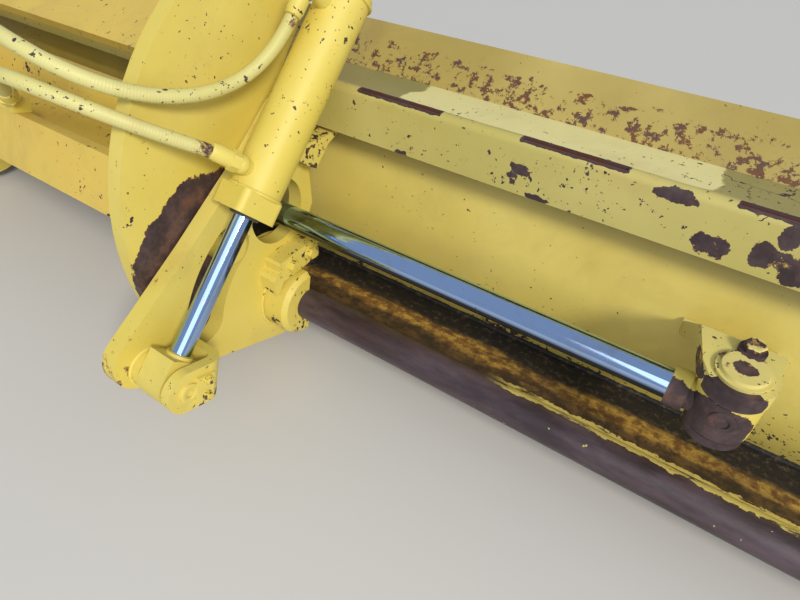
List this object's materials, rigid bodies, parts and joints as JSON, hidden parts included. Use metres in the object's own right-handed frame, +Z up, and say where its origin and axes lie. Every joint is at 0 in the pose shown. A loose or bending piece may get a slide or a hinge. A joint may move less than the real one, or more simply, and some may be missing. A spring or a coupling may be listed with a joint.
{
  "type": "motor grader blade assembly",
  "caption": "Curved grader blade on a slide bar, carried by two tilt plates that turn on two legs, with tip cylinders and a side-shift cylinder.",
  "frame": {"origin": "centre of the four bolt holes, on the top faces of the legs' flanges", "axes": "+X along the blade, +Y the way the blade faces, +Z up out of the mounting flanges"},
  "size_m": [3.658, 0.8158, 0.8739],
  "materials": {
    "worn_yellow_paint": "chipped, dirty",
    "worn_steel": "worn by soil",
    "greased_steel": "rusty under grease",
    "chrome_rod": "polished, scratched",
    "painted_hose": "overpainted"
  },
  "bodies": {
    "blade": {"moldboard": "worn_yellow_paint", "rail": "worn_yellow_paint", "slide_bar": "greased_steel", "cutting_edges": "worn_steel", "end_bits": "worn_steel", "shift_bracket": "worn_yellow_paint", "shift_pin": "worn_yellow_paint", "shift_rod": "chrome_rod"},
    "tilt_frame": {"shift_barrel": "worn_yellow_paint", "shift_anchor": "worn_yellow_paint", "tilt_plate_right": "worn_yellow_paint", "tilt_plate_left": "worn_yellow_paint", "bearing_shell_right": "worn_yellow_paint", "bearing_shell_left": "worn_yellow_paint", "keeper_right": "worn_yellow_paint", "keeper_left": "worn_yellow_paint", "rail_guide_right": "worn_yellow_paint", "rail_guide_left": "worn_yellow_paint", "tip_lug_right": "worn_yellow_paint", "tip_lug_left": "worn_yellow_paint", "lug_pin_right": "worn_yellow_paint", "lug_pin_left": "worn_yellow_paint"},
    "legs": {"leg_right": "worn_yellow_paint", "leg_left": "worn_yellow_paint", "guide_stud_right": "worn_yellow_paint", "guide_stud_left": "worn_yellow_paint", "base_pin_right": "worn_yellow_paint", "base_pin_left": "worn_yellow_paint", "cross_beam": "worn_yellow_paint", "inner_beam": "greased_steel", "hose_fittings": "worn_yellow_paint", "hose_upper": "painted_hose", "hose_lower": "painted_hose"},
    "tip_barrel_r": {"tip_barrel_right": "worn_yellow_paint"},
    "tip_barrel_l": {"tip_barrel_left": "worn_yellow_paint"},
    "tip_rod_r": {"tip_rod_right": "chrome_rod"},
    "tip_rod_l": {"tip_rod_left": "chrome_rod"}
  },
  "joints": [
    {"name": "tip_hinge", "type": "hinge", "parent": "legs", "child": "tilt_frame", "pos_m": [0, -0.17, -0.71], "axis": [1, 0, 0], "range_deg": [-40, 2]},
    {"name": "side_shift", "type": "slide", "parent": "tilt_frame", "child": "blade", "axis": [1, 0, 0], "range_m": [-0.7, 0.42]},
    {"name": "barrel_swing_right", "type": "hinge", "parent": "legs", "child": "tip_barrel_r", "pos_m": [0.75055, 0.09208, -0.06494], "axis": [1, 0, 0], "range_deg": [-7.4, 0.4], "deforming": ["hose_upper", "hose_lower"]},
    {"name": "barrel_swing_left", "type": "hinge", "parent": "legs", "child": "tip_barrel_l", "pos_m": [-0.75055, 0.09208, -0.06494], "axis": [1, 0, 0], "range_deg": [-7.4, 0.4]},
    {"name": "rod_slide_right", "type": "slide", "parent": "tip_barrel_r", "child": "tip_rod_r", "axis": [0, -0.7402, -0.6724], "range_m": [-0.24, 0.013]},
    {"name": "rod_slide_left", "type": "slide", "parent": "tip_barrel_l", "child": "tip_rod_l", "axis": [0, -0.7402, -0.6724], "range_m": [-0.24, 0.013]}
  ],
  "couplings": [
    {"joint": "barrel_swing_right", "follows": "tip_hinge", "ratio": 0.18},
    {"joint": "barrel_swing_left", "follows": "tip_hinge", "ratio": 0.18},
    {"joint": "rod_slide_right", "follows": "tip_hinge", "m_per_rad": 0.337},
    {"joint": "rod_slide_left", "follows": "tip_hinge", "m_per_rad": 0.337}
  ]
}
